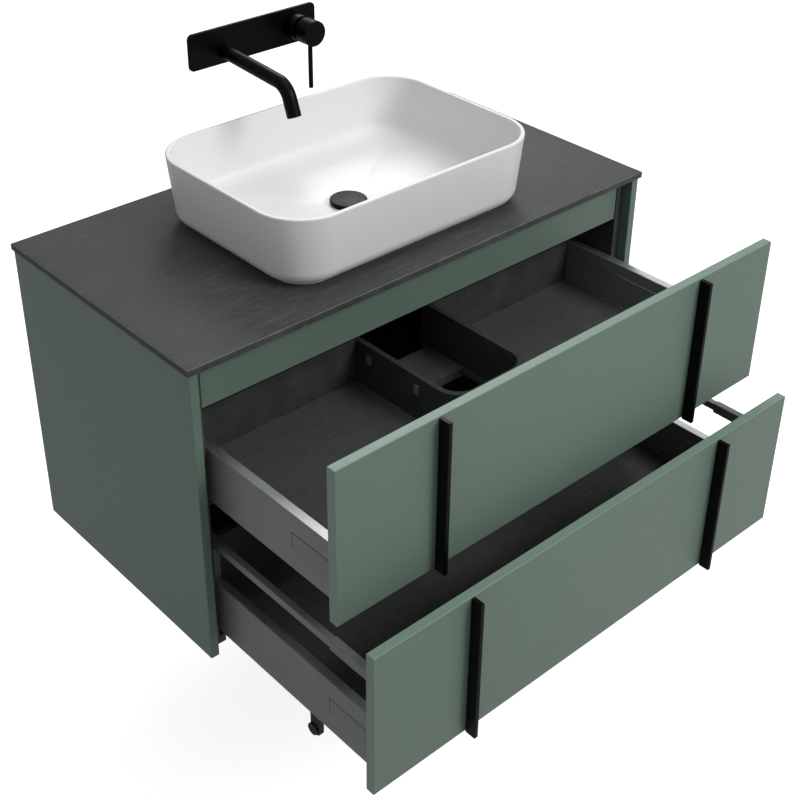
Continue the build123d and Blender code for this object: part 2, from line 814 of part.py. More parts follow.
def write_node(name, solids):
    lift = Pos(0, 0, -fixing_height)
    placed = [lift * solid for solid in solids]
    shape = placed[0] if len(placed) == 1 else Compound(children=placed)
    shape.label = name
    export_step(shape, f"parts/{name}.step")


def main():
    os.makedirs("parts", exist_ok=True)
    nodes = still_nodes()
    nodes.update(drawer_nodes("upper", upper_front_z, upper_front_height, upper_side_z, upper_opening))
    nodes.update(drawer_nodes("lower", lower_front_z, lower_front_height, lower_side_z, lower_opening))
    nodes.update(runner_nodes("upper", upper_side_z, upper_opening))
    nodes.update(runner_nodes("lower", lower_side_z, lower_opening))
    for name, solids in nodes.items():
        write_node(name, solids)
    print(len(nodes), "nodes written")


main()
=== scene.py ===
import json
from math import cos, radians, sin
import bmesh
import bpy
import numpy as np
from mathutils import Matrix, Vector


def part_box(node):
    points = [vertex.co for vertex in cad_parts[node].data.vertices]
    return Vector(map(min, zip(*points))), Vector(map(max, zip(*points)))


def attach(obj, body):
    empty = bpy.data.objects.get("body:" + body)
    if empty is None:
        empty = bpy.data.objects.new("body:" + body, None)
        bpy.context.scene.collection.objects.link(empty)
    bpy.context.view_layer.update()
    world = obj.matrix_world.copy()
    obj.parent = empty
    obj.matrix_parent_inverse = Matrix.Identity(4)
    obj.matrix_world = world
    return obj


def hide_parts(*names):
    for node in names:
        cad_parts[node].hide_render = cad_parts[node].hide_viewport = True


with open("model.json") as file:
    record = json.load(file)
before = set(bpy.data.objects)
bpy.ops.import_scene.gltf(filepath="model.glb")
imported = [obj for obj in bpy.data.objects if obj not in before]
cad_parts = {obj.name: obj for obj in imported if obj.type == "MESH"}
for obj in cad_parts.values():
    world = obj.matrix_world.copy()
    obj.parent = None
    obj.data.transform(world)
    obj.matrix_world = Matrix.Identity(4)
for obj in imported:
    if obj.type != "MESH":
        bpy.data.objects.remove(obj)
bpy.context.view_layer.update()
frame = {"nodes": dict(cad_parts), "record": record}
nodes = frame["nodes"]
scene = bpy.context.scene
slotOf = {part["node"]: part["material_slot"] for part in frame["record"]["subparts"]}
bodyOf = {node: body for body, names in frame["record"]["behaviour"]["bodies"].items() for node in names}

print("stage 1: camera, floor and light")

# the camera stands to the left of the open drawers and looks down over them
cameraSetup = {
    "place": (-1.3994, -1.9393, 1.1478),   # metres, from the hanging screws' centre
    "turn": -41.73,                        # degrees about the vertical
    "lookDown": 31.07,
    "roll": 0.29,
    "sensor": 36.0,                        # millimetres, as the lens is
    "lens": 62.901,
    "shift": (0.018375, -0.111375),        # shares of the frame's width
}


def makeCamera(setup):
    turn, down, roll = (radians(setup[key]) for key in ("turn", "lookDown", "roll"))
    back = Vector((sin(turn) * cos(down), -cos(turn) * cos(down), sin(down)))
    right = (-back).cross(Vector((0, 0, 1))).normalized()
    up = right.cross(-back)
    rolledRight = right * cos(roll) + up * sin(roll)
    rolledUp = up * cos(roll) - right * sin(roll)
    data = bpy.data.cameras.new("camera")
    data.sensor_width = setup["sensor"]
    data.lens = setup["lens"]
    data.shift_x, data.shift_y = setup["shift"]
    data.clip_end = 50
    camera = bpy.data.objects.new("camera", data)
    axes = Matrix((rolledRight, rolledUp, back)).transposed()
    camera.matrix_world = Matrix.Translation(setup["place"]) @ axes.to_4x4()
    scene.collection.objects.link(camera)
    scene.camera = camera


studio = {
    "floorDrop": 0.32,          # below the cabinet
    "floorSize": 40.0,
    "floorGrey": 0.62,
    "floorGlow": 0.80,          # lifts the floor to white where it is seen, but lights nothing
    "skyGlow": 0.36,
    "keyPower": 88.0,           # high, in front and to the right
    "topPower": 27.0,
    "rimPower": 46.0,           # high, behind and to the right, for the top edges
    "fillPower": 1.0,           # high, to the left
}


def makeLight(name, place, target, size, power):
    data = bpy.data.lights.new(name, "AREA")
    data.shape = "DISK"
    data.size = size
    data.energy = power
    light = bpy.data.objects.new(name, data)
    light.location = place
    light.rotation_euler = (Vector(target) - Vector(place)).to_track_quat("-Z", "Y").to_euler()
    scene.collection.objects.link(light)


# the value that is only seen, and the value that lights the object
def seenOrLighting(tree, seen, lighting, socket):
    ray = tree.nodes.new("ShaderNodeLightPath")
    choice = tree.nodes.new("ShaderNodeMapRange")
    choice.inputs["To Min"].default_value = lighting
    choice.inputs["To Max"].default_value = seen
    tree.links.new(ray.outputs["Is Camera Ray"], choice.inputs["Value"])
    tree.links.new(choice.outputs["Result"], socket)


def makeStudio(setup):
    half = setup["floorSize"] / 2
    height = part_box("side_panel_left")[0].z - setup["floorDrop"]
    corners = [(-half, -half, height), (half, -half, height), (half, half, height), (-half, half, height)]
    mesh = bpy.data.meshes.new("floor")
    mesh.from_pydata(corners, [], [(0, 1, 2, 3)])
    floor = bpy.data.objects.new("floor", mesh)
    scene.collection.objects.link(floor)
    material = bpy.data.materials.new("floor_paint")
    material.use_nodes = True
    shader = material.node_tree.nodes["Principled BSDF"]
    grey = setup["floorGrey"]
    shader.inputs["Base Color"].default_value = (grey, grey, grey, 1)
    shader.inputs["Roughness"].default_value = 0.9
    shader.inputs["Emission Color"].default_value = (1, 1, 1, 1)
    seenOrLighting(material.node_tree, setup["floorGlow"], 0.0, shader.inputs["Emission Strength"])
    mesh.materials.append(material)

    world = bpy.data.worlds.new("studio")
    world.use_nodes = True
    sky = world.node_tree.nodes["Background"]
    sky.inputs["Color"].default_value = (1, 1, 1, 1)
    seenOrLighting(world.node_tree, 1.0, setup["skyGlow"], sky.inputs["Strength"])
    scene.world = world
    scene.view_settings.view_transform = "Standard"

    middle = (0, -0.4, 0)
    makeLight("key", (1.3, -3.6, 2.3), middle, 1.8, setup["keyPower"])
    makeLight("top", (0.3, -0.6, 3.2), middle, 2.4, setup["topPower"])
    makeLight("rim", (2.0, 1.9, 2.5), middle, 1.6, setup["rimPower"])
    makeLight("fill", (-2.2, -0.9, 1.9), (0, -0.3, 0.1), 1.4, setup["fillPower"])


makeCamera(cameraSetup)
makeStudio(studio)

print("stage 2: materials")


# a node material: helpers add nodes and join them, and the shader is Principled
class Paint:

    def __init__(self, name):
        self.material = bpy.data.materials.new(name)
        self.material.use_nodes = True
        self.tree = self.material.node_tree
        self.shader = self.tree.nodes["Principled BSDF"]
        self.place = self.add("ShaderNodeTexCoord").outputs["Object"]

    def add(self, kind, **settings):
        node = self.tree.nodes.new(kind)
        for key, value in settings.items():
            setattr(node, key, value)
        return node

    def join(self, source, target):
        self.tree.links.new(source, target)

    def mapped(self, scale=(1, 1, 1), turn=(0, 0, 0)):
        node = self.add("ShaderNodeMapping")
        node.inputs["Scale"].default_value = scale
        node.inputs["Rotation"].default_value = [radians(a) for a in turn]
        self.join(self.place, node.inputs["Vector"])
        return node.outputs["Vector"]

    def noise(self, scale, detail=4.0, roughness=0.5, distortion=0.0, where=None):
        node = self.add("ShaderNodeTexNoise")
        node.inputs["Scale"].default_value = scale
        node.inputs["Detail"].default_value = detail
        node.inputs["Roughness"].default_value = roughness
        node.inputs["Distortion"].default_value = distortion
        self.join(where or self.place, node.inputs["Vector"])
        return node.outputs["Fac"]

    def ramp(self, source, stops):
        node = self.add("ShaderNodeValToRGB")
        points = node.color_ramp.elements
        while len(points) < len(stops):
            points.new(0.5)
        for point, (at, value) in zip(points, stops):
            point.position = at
            tone = value if hasattr(value, "__len__") else (value, value, value)
            point.color = (*tone, 1)
        self.join(source, node.inputs["Fac"])
        return node.outputs["Color"]

    def maths(self, kind, first, second):
        node = self.add("ShaderNodeMath", operation=kind)
        for socket, value in zip(node.inputs, (first, second)):
            if isinstance(value, (int, float)):
                socket.default_value = value
            else:
                self.join(value, socket)
        return node.outputs["Value"]

    # a colour mix has its amount in socket 0 and its two colours in sockets 6 and 7
    def mixed(self, amount, low, high, blend="MIX"):
        node = self.add("ShaderNodeMix", data_type="RGBA", blend_type=blend)
        for socket, value in zip((node.inputs[0], node.inputs[6], node.inputs[7]), (amount, low, high)):
            if isinstance(value, tuple):
                socket.default_value = (*value, 1)
            elif isinstance(value, (int, float)):
                socket.default_value = value
            else:
                self.join(value, socket)
        return node.outputs[2]

    def colour(self, source):
        self.join(source, self.shader.inputs["Base Color"])

    def rough(self, source):
        self.join(source, self.shader.inputs["Roughness"])

    def bump(self, height, strength, distance):
        node = self.add("ShaderNodeBump")
        node.inputs["Strength"].default_value = strength
        node.inputs["Distance"].default_value = distance
        self.join(height, node.inputs["Height"])
        self.join(node.outputs["Normal"], self.shader.inputs["Normal"])

    def set(self, **values):
        for key, value in values.items():
            self.shader.inputs[key.replace("_", " ")].default_value = value


def shade(tone, factor):
    return tuple(min(1.0, part * factor) for part in tone)


edgeBand = 1.42      # how much lighter the boards' edge bands are than their faces
lacquer = {
    "tone": (0.134, 0.194, 0.156), "roughness": 0.42,
    "cloud": 0.012,      # how far each of the two tones lies from the middle one
    "cloudScale": 5.0, "fleckScale": 1600.0, "driftScale": 90.0, "peelScale": 900.0,
}


def lacquerPaint(name, setup):
    # Sprayed lacquer: two close tones in slow clouds, fine orange peel and a roughness that drifts.
    paint = Paint(name)
    clouds = paint.noise(setup["cloudScale"], 3.0)
    speckle = paint.noise(setup["fleckScale"], 2.0)
    tone = setup["tone"]
    base = paint.mixed(clouds, shade(tone, 1 - setup["cloud"]), shade(tone, 1 + setup["cloud"]))
    fleck = paint.ramp(speckle, ((0.35, 0.94), (0.65, 1.0)))
    paint.colour(paint.mixed(1.0, base, fleck, "MULTIPLY"))
    rough = setup["roughness"]
    drift = paint.noise(setup["driftScale"], 3.0)
    paint.rough(paint.ramp(drift, ((0.3, rough - 0.03), (0.7, rough + 0.04))))
    paint.bump(paint.noise(setup["peelScale"], 2.0), 0.10, 0.0004)
    paint.set(Specular_IOR_Level=0.35)
    return paint.material


arrisHighlightTone = 2.6      # painted highlight: the arris is painted paler than the riven face, for the bright line of light along the edge
slate = {
    "dark": (0.036, 0.038, 0.039), "light": (0.086, 0.089, 0.090), "roughness": 0.62,
    "grainTurn": 38.0,   # degrees from the width
    "grainScale": 16.0, "fibreScale": 70.0, "patchScale": 3.2, "scratchScale": 44.0,
}


def slatePaint(name, setup):
    # Cleft slate: long grain stretched along one diagonal, cloudy patches, and thin pale scratches.
    paint = Paint(name)
    along = paint.mapped((1.0, 7.0, 1.0), (0, 0, setup["grainTurn"]))
    fine = paint.mapped((1.0, 5.0, 1.0), (0, 0, setup["grainTurn"] + 9))
    grain = paint.noise(setup["grainScale"], 9.0, 0.62, 0.35, along)
    fibre = paint.noise(setup["fibreScale"], 6.0, 0.6, 0.5, fine)
    patch = paint.noise(setup["patchScale"], 5.0, 0.55)
    blend = paint.maths("ADD", paint.maths("MULTIPLY", grain, 0.55), paint.maths("MULTIPLY", fibre, 0.25))
    blend = paint.maths("ADD", blend, paint.maths("MULTIPLY", patch, 0.30))
    middle = shade(setup["dark"], 1.5)
    base = paint.ramp(blend, ((0.38, setup["dark"]), (0.56, middle), (0.72, setup["light"])))
    scratch = paint.noise(setup["scratchScale"], 3.0, 0.4, 1.2, along)
    scratch = paint.ramp(scratch, ((0.66, 0.0), (0.72, 0.55)))
    paint.colour(paint.mixed(scratch, base, shade(setup["light"], 1.25)))
    rough = setup["roughness"]
    paint.rough(paint.ramp(grain, ((0.3, rough - 0.08), (0.7, rough + 0.12))))
    relief = paint.maths("ADD", paint.maths("MULTIPLY", grain, 0.7), paint.maths("MULTIPLY", fibre, 0.3))
    paint.bump(relief, 0.55, 0.0012)
    paint.set(Specular_IOR_Level=0.35)
    return paint.material


glaze = {
    "tone": (0.80, 0.805, 0.80), "warm": (0.785, 0.785, 0.772), "roughness": 0.34,
    "tintScale": 7.0, "driftScale": 18.0, "waveScale": 24.0, "rippleScale": 240.0,
}


def glazePaint(setup):
    # Fired glaze: almost white, with slow waves and a faint ripple under a thin clear coat.
    paint = Paint("glaze")
    paint.colour(paint.mixed(paint.noise(setup["tintScale"], 4.0), setup["tone"], setup["warm"]))
    rough = setup["roughness"]
    drift = paint.noise(setup["driftScale"], 3.0)
    paint.rough(paint.ramp(drift, ((0.3, rough - 0.03), (0.7, rough + 0.05))))
    ripple = paint.maths("MULTIPLY", paint.noise(setup["rippleScale"], 2.0), 0.08)
    waves = paint.maths("ADD", paint.noise(setup["waveScale"], 2.0), ripple)
    paint.bump(waves, 0.10, 0.001)
    paint.set(Specular_IOR_Level=0.32, Coat_Weight=0.12, Coat_Roughness=0.28)
    return paint.material


smearScale = 30.0        # the slow wear in every coat
powder = {
    "black_coat": {"tone": (0.0009, 0.0010, 0.0010), "speckle": 2.0, "grain": 2600.0,
                   "roughness": 0.36, "metallic": 0.0, "specular": 0.11},
    "steel_coat": {"tone": (0.190, 0.195, 0.199), "speckle": 1.12, "grain": 3000.0,
                   "roughness": 0.42, "metallic": 0.25, "specular": 0.4},
    "socket_plastic": {"tone": (0.170, 0.173, 0.178), "speckle": 1.2, "grain": 2200.0,
                       "roughness": 0.55, "metallic": 0.0, "specular": 0.4},
    "cap_plastic": {"tone": (0.180, 0.184, 0.190), "speckle": 1.1, "grain": 2200.0,
                    "roughness": 0.46, "metallic": 0.1, "specular": 0.4},
    "black_plastic": {"tone": (0.009, 0.009, 0.010), "speckle": 1.7, "grain": 1800.0,
                      "roughness": 0.5, "metallic": 0.0, "specular": 0.4},
    "rubber": {"tone": (0.016, 0.016, 0.016), "speckle": 1.4, "grain": 1400.0,
               "roughness": 0.75, "metallic": 0.0, "specular": 0.4},
    "white_plastic": {"tone": (0.74, 0.745, 0.74), "speckle": 1.03, "grain": 1300.0,
                      "roughness": 0.3, "metallic": 0.0, "specular": 0.4},
}


def powderPaint(name, setup):
    # A fine grained coat: specks of a second tone with the same grain in the bump, and slow wear.
    paint = Paint(name)
    grain = paint.noise(setup["grain"], 2.0, 0.6)
    smear = paint.noise(smearScale, 4.0)
    tone = setup["tone"]
    specks = paint.ramp(grain, ((0.42, tone), (0.66, shade(tone, setup["speckle"]))))
    paint.colour(paint.mixed(smear, specks, shade(tone, 1.06)))
    rough = setup["roughness"]
    paint.rough(paint.ramp(smear, ((0.3, rough - 0.04), (0.7, rough + 0.06))))
    paint.bump(grain, 0.18, 0.00025)
    paint.set(Metallic=setup["metallic"], Specular_IOR_Level=setup["specular"])
    return paint.material


weaveScale = 420.0
boardDriftScale = 12.0
# one faced board in two tones: the floor boards are painted lighter than the upright boards, a painted light
# where they face up
boards = {
    "upright_board": {"tone": (0.036, 0.038, 0.038), "light": (0.056, 0.058, 0.059), "roughness": 0.50},
    "lit_floor_board": {"tone": (0.078, 0.080, 0.080), "light": (0.108, 0.110, 0.111), "roughness": 0.42},
}


def boardPaint(name, setup):
    # Faced board: a pressed linen of two crossed fine grains, with a roughness that drifts.
    paint = Paint(name)
    warp = paint.noise(weaveScale, 2.0, 0.5, 0.0, paint.mapped((1, 0.06, 1)))
    weft = paint.noise(weaveScale, 2.0, 0.5, 0.0, paint.mapped((0.06, 1, 0.06)))
    weave = paint.maths("MULTIPLY", paint.maths("ADD", warp, weft), 0.5)
    paint.colour(paint.ramp(weave, ((0.40, setup["tone"]), (0.60, setup["light"]))))
    rough = setup["roughness"]
    drift = paint.noise(boardDriftScale, 4.0)
    paint.rough(paint.ramp(drift, ((0.3, rough - 0.06), (0.7, rough + 0.08))))
    paint.bump(weave, 0.22, 0.0004)
    paint.set(Specular_IOR_Level=0.35)
    return paint.material


streakScale = 9.0
metals = {
    "zinc": {"low": (0.42, 0.43, 0.44), "high": (0.58, 0.59, 0.60), "stretch": (60, 1, 60),
             "roughness": 0.32},
    "brushed_band": {"low": (0.50, 0.51, 0.52), "high": (0.74, 0.75, 0.76), "stretch": (240, 3, 240),
                     "roughness": 0.42},
    "cast_brass": {"low": (0.50, 0.36, 0.14), "high": (0.66, 0.50, 0.24), "stretch": (8, 8, 8),
                   "roughness": 0.38},
}


def metalPaint(name, setup):
    # Bare metal: drawn streaks where the stretch is long, or cast mottle where it is even.
    paint = Paint(name)
    streak = paint.noise(streakScale, 6.0, 0.6, 0.2, paint.mapped(setup["stretch"]))
    paint.colour(paint.ramp(streak, ((0.35, setup["low"]), (0.65, setup["high"]))))
    rough = setup["roughness"]
    paint.rough(paint.ramp(streak, ((0.3, rough - 0.06), (0.7, rough + 0.10))))
    paint.bump(streak, 0.12, 0.0004)
    paint.set(Metallic=1.0)
    return paint.material


finishes = {
    "green_lacquer": lacquerPaint("green_lacquer", lacquer),
    "slate_top": slatePaint("slate", slate),
    "white_ceramic": glazePaint(glaze),
    "grey_board": boardPaint("upright_board", boards["upright_board"]),
    "black_metal": powderPaint("black_coat", powder["black_coat"]),
    "grey_steel": powderPaint("steel_coat", powder["steel_coat"]),
    "socket_plastic": powderPaint("socket_plastic", powder["socket_plastic"]),
    "cap_plastic": powderPaint("cap_plastic", powder["cap_plastic"]),
    "black_plastic": powderPaint("black_plastic", powder["black_plastic"]),
    "rubber": powderPaint("rubber", powder["rubber"]),
    "white_plastic": powderPaint("white_plastic", powder["white_plastic"]),
    "runner_steel": metalPaint("zinc", metals["zinc"]),
    "brass": metalPaint("cast_brass", metals["cast_brass"]),
}
brushedBand = metalPaint("brushed_band", metals["brushed_band"])
# the floor boards' lighter copy of the board, a painted light
litFloorBoard = boardPaint("lit_floor_board", boards["lit_floor_board"])
edgePaint = lacquerPaint("edge_band", {**lacquer, "tone": shade(lacquer["tone"], edgeBand)})
# the slate again, painted paler for the arris: a painted highlight
arrisHighlightPaint = slatePaint("slate_arris_highlight", {**slate, "dark": shade(slate["dark"], arrisHighlightTone),
                                        "light": shade(slate["light"], arrisHighlightTone)})
floorNodes = ("upper_floor", "lower_floor")

print("stage 3: shape tools")

tipRadius = 0.0004       # of the small ring round each pole of a turned shape


# outward normals of a closed line that runs anticlockwise: the step between neighbours, turned a quarter
def outlineNormals(outline):
    step = np.roll(outline, -1, axis=0) - np.roll(outline, 1, axis=0)
    normal = np.stack((step[:, 1], -step[:, 0]), axis=1)
    return normal / np.linalg.norm(normal, axis=1, keepdims=True)


# four quarter circles about the corners of a smaller rectangle, joined by straight sides
def roundedRect(low, high, radius, perCorner=7):
    quarter = np.linspace(0, np.pi / 2, perCorner)
    angle = np.concatenate([quarter + turn * np.pi / 2 for turn in range(4)])
    sign = np.repeat([(1, 1), (-1, 1), (-1, -1), (1, -1)], perCorner, axis=0)
    low, high = np.array(low), np.array(high)
    centre = (low + high) / 2 + sign * ((high - low) / 2 - radius)
    return centre + radius * np.stack((np.cos(angle), np.sin(angle)), axis=1)


# a line with each corner replaced by a parabola that starts and ends a reach away from it
def softLine(points, reach, steps=6, closed=False):
    points = np.array(points, dtype=float)
    before = np.roll(points, 1, axis=0) - points
    after = np.roll(points, -1, axis=0) - points
    beforeLength = np.linalg.norm(before, axis=1, keepdims=True)
    afterLength = np.linalg.norm(after, axis=1, keepdims=True)
    reach = np.broadcast_to(np.reshape(reach, (-1, 1)), beforeLength.shape)
    reach = np.minimum(reach, 0.49 * np.minimum(beforeLength, afterLength))
    start = points + before / beforeLength * reach
    end = points + after / afterLength * reach
    s = np.linspace(0, 1, steps)[:, None, None]
    curve = ((1 - s) ** 2 * start + 2 * s * (1 - s) * points + s ** 2 * end).transpose(1, 0, 2)
    if closed:
        return curve.reshape(-1, 2)
    return np.concatenate((points[:1], curve[1:-1].reshape(-1, 2), points[-1:]))


# an outline carried along an axis and drawn in by a quarter circle at both ends
def bevelledPlate(outline, low, high, bevel, axis, steps=5):
    turn = np.linspace(0, np.pi / 2, steps)
    inset = bevel * (1 - np.sin(turn))
    rise = bevel * (1 - np.cos(turn))
    inset = np.concatenate((inset, inset[::-1]))
    level = np.concatenate((low + rise, high - rise[::-1]))
    flat = outline[None] - inset[:, None, None] * outlineNormals(outline)[None]
    grid = np.empty((len(level), len(outline), 3))
    grid[..., (axis + 1) % 3] = flat[..., 0]
    grid[..., (axis + 2) % 3] = flat[..., 1]
    grid[..., axis] = level[:, None]
    return grid


# a box with every edge rounded: a rounded rectangle carried along one axis
def softBox(box, bevel, axis=2, corner=None):
    low, high = box
    across = [(axis + 1) % 3, (axis + 2) % 3]
    corner = max(corner or 0, bevel * 1.15)
    outline = roundedRect([low[i] for i in across], [high[i] for i in across], corner)
    return bevelledPlate(outline, low[axis], high[axis], bevel, axis)


# a profile of (distance along, radius) turned about an axis; ribs are a cosine cut into its widest rows
def lathe(start, direction, profile, cols=72, ribs=0, ribDepth=0.0):
    axis = np.array(direction, dtype=float)
    side = np.array((1.0, 0, 0)) if abs(axis[0]) < 0.9 else np.array((0, 1.0, 0))
    other = np.cross(axis, side)
    turn = np.linspace(0, 2 * np.pi, cols, endpoint=False)
    spoke = np.cos(turn)[:, None] * side + np.sin(turn)[:, None] * other
    along, radius = profile[:, 0], profile[:, 1][:, None]
    wide = radius > 0.985 * radius.max()
    radius = radius - wide * ribDepth * (0.5 + 0.5 * np.cos(ribs * turn))[None]
    return np.array(start) + along[:, None, None] * axis + radius[..., None] * spoke


# quads between neighbouring rows; the ends are joined in a loop, closed to points or closed by flat faces
def gridFaces(rows, cols, ends, first):
    index = first + np.arange(rows * cols).reshape(rows, cols)
    if ends == "loop":
        index = np.vstack((index, index[:1]))
    beside = np.roll(index, -1, axis=1)
    faces = np.stack((index[:-1], beside[:-1], beside[1:], index[1:]), axis=-1).reshape(-1, 4).tolist()
    if ends == "flat":
        faces += [index[0][::-1].tolist(), index[-1].tolist()]
    if ends == "poles":
        for row, pole in ((0, first + rows * cols), (-1, first + rows * cols + 1)):
            fan = np.stack((beside[row], index[row], np.full(cols, pole)), axis=-1)
            faces += fan.tolist()
    return faces


def makePiece(name, grids, slot, body, replaced=(), ends="flat", flatOver=None, finish=None):
    points, faces, first = [], [], 0
    for grid in grids:
        rows, cols = grid.shape[:2]
        block = grid.reshape(-1, 3)
        if ends == "poles":
            block = np.concatenate((block, grid[0].mean(axis=0)[None], grid[-1].mean(axis=0)[None]))
        faces += gridFaces(rows, cols, ends, first)
        points.append(block)
        first += len(block)
    points = np.concatenate(points)
    mesh = bpy.data.meshes.new(name)
    mesh.from_pydata(points.tolist(), [], faces)
    if flatOver:        # wide faces stay flat, so that only the rounded edges are shaded smooth
        quads = np.array([face if len(face) == 4 else (0, 0, 0, 0) for face in faces])
        sides = [np.linalg.norm(points[quads[:, i]] - points[quads[:, i + 1]], axis=1) for i in (0, 1)]
        smooth = np.minimum(*sides) < flatOver
        smooth[[len(face) > 4 for face in faces]] = False
    else:
        smooth = np.ones(len(faces), dtype=bool)
    mesh.polygons.foreach_set("use_smooth", smooth)
    skin = bmesh.new()
    skin.from_mesh(mesh)
    bmesh.ops.recalc_face_normals(skin, faces=skin.faces)
    skin.to_mesh(mesh)
    skin.free()
    if not flatOver:
        mesh.set_sharp_from_angle(angle=radians(38))
    mesh.materials.append(finish or finishes[slot])
    piece = bpy.data.objects.new(name, mesh)
    scene.collection.objects.link(piece)
    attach(piece, body)
    if replaced:
        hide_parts(*replaced)
    return piece


def reshape(node, grids, ends="flat", flatOver=None):
    finish = litFloorBoard if node in floorNodes else None
    return makePiece(node + "_form", grids, slotOf[node], bodyOf[node], (node,), ends, flatOver, finish)


# a second finish on the faces whose normal has a size between two values along an axis
def paintFacing(piece, axis, least, most, finish):
    mesh = piece.data
    normals = np.empty(len(mesh.polygons) * 3)
    mesh.polygons.foreach_get("normal", normals)
    along = np.abs(normals.reshape(-1, 3)[:, axis])
    mesh.materials.append(finish)
    mesh.polygons.foreach_set("material_index", ((along > least) & (along < most)).astype(np.int32))


def mirrored(grids):
    return list(grids) + [grid * np.array((-1, 1, 1)) for grid in grids]


# boxes of a node's solids, told apart by the side of the middle that their points lie on
def solidBoxes(node, alongY=False):
    mesh = nodes[node].data
    points = np.empty(len(mesh.vertices) * 3)
    mesh.vertices.foreach_get("co", points)
    points = points.reshape(-1, 3)
    middle = (points.min(axis=0) + points.max(axis=0)) / 2
    groups = [points[points[:, 0] < middle[0]], points[points[:, 0] > middle[0]]]
    if alongY:
        groups = [part for group in groups
                  for part in (group[group[:, 1] < middle[1]], group[group[:, 1] > middle[1]])]
    return [(group.min(axis=0), group.max(axis=0)) for group in groups]


print("stage 4: boards, fronts and handles")

softBoards = {      # node: (edge radius, axis of the long edges)
    "side_panel_left": (0.0012, 2), "side_panel_right": (0.0012, 2),
    "upper_front": (0.0014, 0), "lower_front": (0.0014, 0),
    "front_rail": (0.0010, 0), "lower_rear_rail": (0.0006, 0),
    "inner_side_left": (0.0006, 2), "inner_side_right": (0.0006, 2),
    "lower_floor": (0.0005, 1), "lower_back": (0.0008, 0),
}
for node, (bevel, axis) in softBoards.items():
    board = reshape(node, [softBox(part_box(node), bevel, axis)], flatOver=0.003)
    if node in ("upper_front", "lower_front"):
        paintFacing(board, 1, -1, 0.7, edgePaint)

softPairs = {       # two solids each, left and right
    "upper_handles": (0.0014, 2), "lower_handles": (0.0014, 2),
    "gallery_rails": (0.0010, 1), "upper_backs": (0.0008, 0),
    "upper_front_brackets": (0.0008, 1), "lower_front_brackets": (0.0008, 1),
    "upper_glides": (0.0008, 1), "lower_glides": (0.0008, 1),
}
for node, (bevel, axis) in softPairs.items():
    reshape(node, [softBox(box, bevel, axis) for box in solidBoxes(node)], flatOver=0.003)

reshape("gallery_sockets", [softBox(box, 0.0018, 1) for box in solidBoxes("gallery_sockets", True)],
        flatOver=0.004)

print("stage 5: countertop")

slab = {
    "edgeRadius": 0.0011,
    "sidePoints": 90,         # along each side of the outline
    "rings": 36,              # from the waste hole to the edge
    "cleft": 0.00028,         # depth of the riven top
    "ragged": 0.0005,         # how far the riven edge draws in
    "grainTurn": 38.0,
    "holeRadius": 0.0225,
}


# three crossed waves, with the slow one bending the quick ones, from 0 to 1
def rivenWaves(x, y, turn):
    along = x * cos(radians(turn)) + y * sin(radians(turn))
    across = y * cos(radians(turn)) - x * sin(radians(turn))
    slow = np.sin(11 * along + 1.3) * np.sin(17 * across)
    middle = np.sin(74 * across + 2.6 * slow + 4 * along)
    quick = np.sin(213 * across + 3.1 * middle + 19 * along)
    return 0.5 + 0.25 * slow + 0.17 * middle + 0.08 * quick


# rings from a circle to a rectangle: the top, the edge, the underside, and back up through the hole
def countertopGrid(setup):
    low, high = (np.array(corner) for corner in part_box("countertop"))
    basinLow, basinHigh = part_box("basin")
    centre = np.array(((basinLow.x + basinHigh.x) / 2, (basinLow.y + basinHigh.y) / 2))
    s = np.linspace(0, 1, setup["sidePoints"], endpoint=False)[:, None]
    corner = np.array(((high[0], low[1]), (high[0], high[1]), (low[0], high[1]), (low[0], low[1])))
    outer = np.concatenate([corner[i] * (1 - s) + corner[(i + 1) % 4] * s for i in range(4)])
    ray = outer - centre
    ray = ray / np.linalg.norm(ray, axis=1, keepdims=True)
    inner = centre + ray * setup["holeRadius"]
    turn = np.linspace(0, np.pi / 2, 6)
    radius = setup["edgeRadius"]
    inset = radius * (1 - np.sin(turn))
    rise = radius * (1 - np.cos(turn))
    middle = (low[:2] + high[:2]) / 2
    half = (high[:2] - low[:2]) / 2

    def outlineAt(draw):
        ragged = setup["ragged"] * rivenWaves(outer[:, 0] * 3, outer[:, 1] * 3, setup["grainTurn"])[:, None]
        return middle + (outer - middle) * (1 - (draw + ragged) / half)

    spread = np.linspace(0, 1, setup["rings"])[1:-1]
    topEdge = outlineAt(radius)
    rows = [(inner, high[2])] + [(inner * (1 - t) + topEdge * t, high[2]) for t in spread]
    rows += [(outlineAt(i), high[2] - r) for i, r in zip(inset, rise)]
    rows += [(outlineAt(i), low[2] + r) for i, r in zip(inset[::-1], rise[::-1])]
    rows += [(inner, low[2])]
    grid = np.array([np.column_stack((flat, np.full(len(flat), level))) for flat, level in rows])
    waves = rivenWaves(grid[..., 0], grid[..., 1], setup["grainTurn"])
    onTop = np.clip((grid[..., 2] - low[2]) / (high[2] - low[2]) * 4 - 3, 0, 1)
    grid[..., 2] -= setup["cleft"] * waves * onTop
    return grid


top = reshape("countertop", [countertopGrid(slab)], ends="loop")
# the rounded edge of the top takes the paler slate, a painted highlight along the arris
paintFacing(top, 2, 0.2, 0.93, arrisHighlightPaint)

print("stage 6: basin and waste")

bowl = {
    "corner": 0.088, "wall": 0.008, "rimRound": 0.0034,
    "draft": 0.0128,            # how far the foot of the wall stands in from the rim
    "footHeight": 0.003, "footInset": 0.0328, "baseRadius": 0.030,
    "floorHeight": 0.028, "floorRadius": 0.024,
    "footFlat": 0.02, "footRound": 0.0012,
    "floorRun": 0.06, "floorDip": 0.0045,       # the floor's first slope, beyond the cove
    "seatHeight": 0.012, "seatRadius": 0.033, "seatFlat": 0.006, "throatEdge": 0.0008,
    "holeRadius": 0.0225,
    "sidePoints": 20, "cornerPoints": 24,
}


